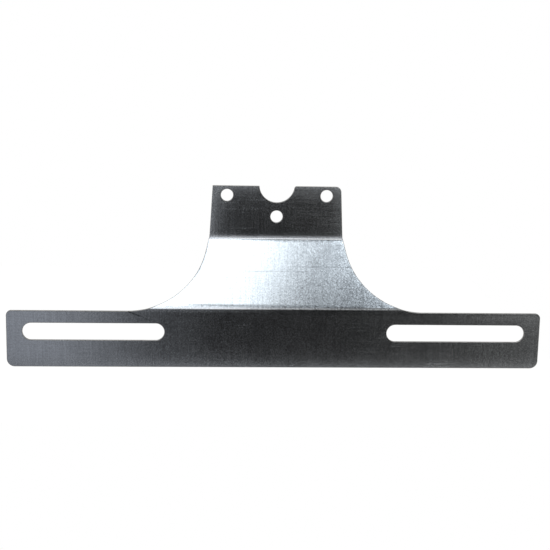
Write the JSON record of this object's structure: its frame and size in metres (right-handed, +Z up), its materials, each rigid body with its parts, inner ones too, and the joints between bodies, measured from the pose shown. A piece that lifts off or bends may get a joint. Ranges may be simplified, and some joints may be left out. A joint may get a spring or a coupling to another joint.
{
  "type": "number plate holder",
  "caption": "Folded sheet steel bracket: a narrow lamp tab with a cable notch, a flared sloping web and a long slotted bar that carries a number plate.",
  "frame": {"origin": "on the back face of the lamp tab, midway between the two lamp bolt holes", "axes": "+X along the plate bar, +Y out of the tab's back face towards the vehicle, +Z up; the plate hangs on the -Y side"},
  "size_m": [0.271, 0.017, 0.091],
  "materials": {
    "zinc_plated_steel": "bright zinc plate over rolled sheet, fine rolling grain and light scratches"
  },
  "bodies": {
    "root": {"plate_holder": "zinc_plated_steel"}
  },
  "joints": []
}
